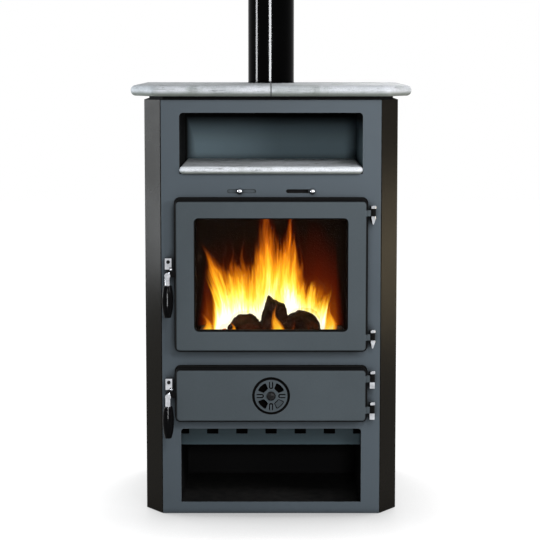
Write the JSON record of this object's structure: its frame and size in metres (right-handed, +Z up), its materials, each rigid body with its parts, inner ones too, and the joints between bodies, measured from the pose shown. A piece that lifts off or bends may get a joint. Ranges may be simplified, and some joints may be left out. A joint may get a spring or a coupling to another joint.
{
  "type": "wood-burning boiler stove",
  "caption": "Free-standing wood stove with a water jacket, glazed fire door, ash door with air wheel, open niche, wood store, stone top and flue pipe.",
  "frame": {"origin": "middle of the base tray's underside, on the floor", "axes": "+Z up, -Y towards the user in front of the doors, +X to the user's right"},
  "size_m": [0.68, 0.5699, 1.375],
  "materials": {
    "case_paint": "satin charcoal stove paint",
    "side_paint": "satin brown-black stove paint",
    "black_paint": "matt black heat-proof paint",
    "soapstone": "honed grey stone with faint veins",
    "door_iron": "charcoal paint on cast iron",
    "grate_iron": "raw casting",
    "boiler_steel": "mill finish, darkened by heat",
    "socket_steel": "turned steel",
    "screw_steel": "plain zinc",
    "black_bolt": "charcoal, as the door",
    "chrome": "polished",
    "grip_plastic": "gloss black",
    "pipe_enamel": "gloss black enamel",
    "door_glass": "clear ceramic glass",
    "seal_rope": "woven glass fibre",
    "firebrick": "pressed vermiculite"
  },
  "bodies": {
    "case": {"front_panel": "case_paint", "niche_liner": "case_paint", "slotted_shield": "case_paint", "side_panel_left": "side_paint", "side_panel_right": "side_paint", "rear_panel": "side_paint", "base_pan": "black_paint", "top_plate": "black_paint", "top_frame": "black_paint", "front_frame": "black_paint", "air_slide_box": "black_paint", "ash_box": "black_paint", "wood_store_walls": "black_paint", "flue_box": "black_paint", "flue_collar": "black_paint", "log_guard": "black_paint", "top_slab_left": "soapstone", "top_slab_right": "soapstone", "niche_shelf": "soapstone", "grate": "grate_iron", "water_jacket": "boiler_steel", "firebox_floor": "boiler_steel", "firebox_roof": "boiler_steel", "baffle_plate": "boiler_steel", "ash_pan": "boiler_steel", "flow_socket": "socket_steel", "return_socket": "socket_steel", "small_sockets": "socket_steel", "rear_panel_screws": "screw_steel", "keeper_screws": "black_bolt", "fire_hinge_brackets": "chrome", "fire_hinge_pins": "chrome", "ash_hinge_brackets": "chrome", "ash_hinge_pins": "chrome", "fire_latch_keeper": "chrome", "ash_latch_keeper": "chrome", "flue_pipe": "pipe_enamel", "side_bricks": "firebrick", "rear_brick": "firebrick"},
    "fire_door_leaf": {"fire_door": "door_iron", "fire_door_glass": "door_glass", "glass_gasket": "seal_rope", "glass_clips": "boiler_steel", "glass_clip_screws": "screw_steel", "fire_door_seal": "seal_rope"},
    "fire_latch": {"fire_latch_spindle": "chrome", "fire_latch_lever": "chrome", "fire_latch_grip": "grip_plastic"},
    "ash_door_leaf": {"ash_door": "door_iron", "ash_door_seal": "seal_rope", "spinner_bolt": "black_bolt", "spinner_nut": "screw_steel"},
    "ash_latch": {"ash_latch_spindle": "chrome", "ash_latch_lever": "chrome", "ash_latch_grip": "grip_plastic"},
    "air_wheel": {"air_spinner": "door_iron"},
    "left_slide": {"air_slide_left": "case_paint", "air_knob_left": "chrome"},
    "right_slide": {"air_slide_right": "case_paint", "air_knob_right": "chrome"}
  },
  "joints": [
    {"name": "fire_door_hinge", "type": "hinge", "parent": "case", "child": "fire_door_leaf", "pos_m": [0.245, -0.266, 0.5875], "axis": [0, 0, 1], "range_deg": [0, 110]},
    {"name": "fire_latch_turn", "type": "hinge", "parent": "fire_door_leaf", "child": "fire_latch", "pos_m": [-0.248, -0.27, 0.592], "axis": [0, 1, 0], "range_deg": [-25, 75]},
    {"name": "ash_door_hinge", "type": "hinge", "parent": "case", "child": "ash_door_leaf", "pos_m": [0.245, -0.266, 0.297], "axis": [0, 0, 1], "range_deg": [0, 110]},
    {"name": "ash_latch_turn", "type": "hinge", "parent": "ash_door_leaf", "child": "ash_latch", "pos_m": [-0.248, -0.27, 0.298], "axis": [0, 1, 0], "range_deg": [-25, 75]},
    {"name": "air_wheel_turn", "type": "hinge", "parent": "ash_door_leaf", "child": "air_wheel", "pos_m": [0, -0.278, 0.297], "axis": [0, 1, 0], "range_deg": [0, 45]},
    {"name": "left_slide_move", "type": "slide", "parent": "case", "child": "left_slide", "axis": [1, 0, 0], "range_m": [-0.026, 0.034]},
    {"name": "right_slide_move", "type": "slide", "parent": "case", "child": "right_slide", "axis": [1, 0, 0], "range_m": [-0.059, 0]}
  ]
}
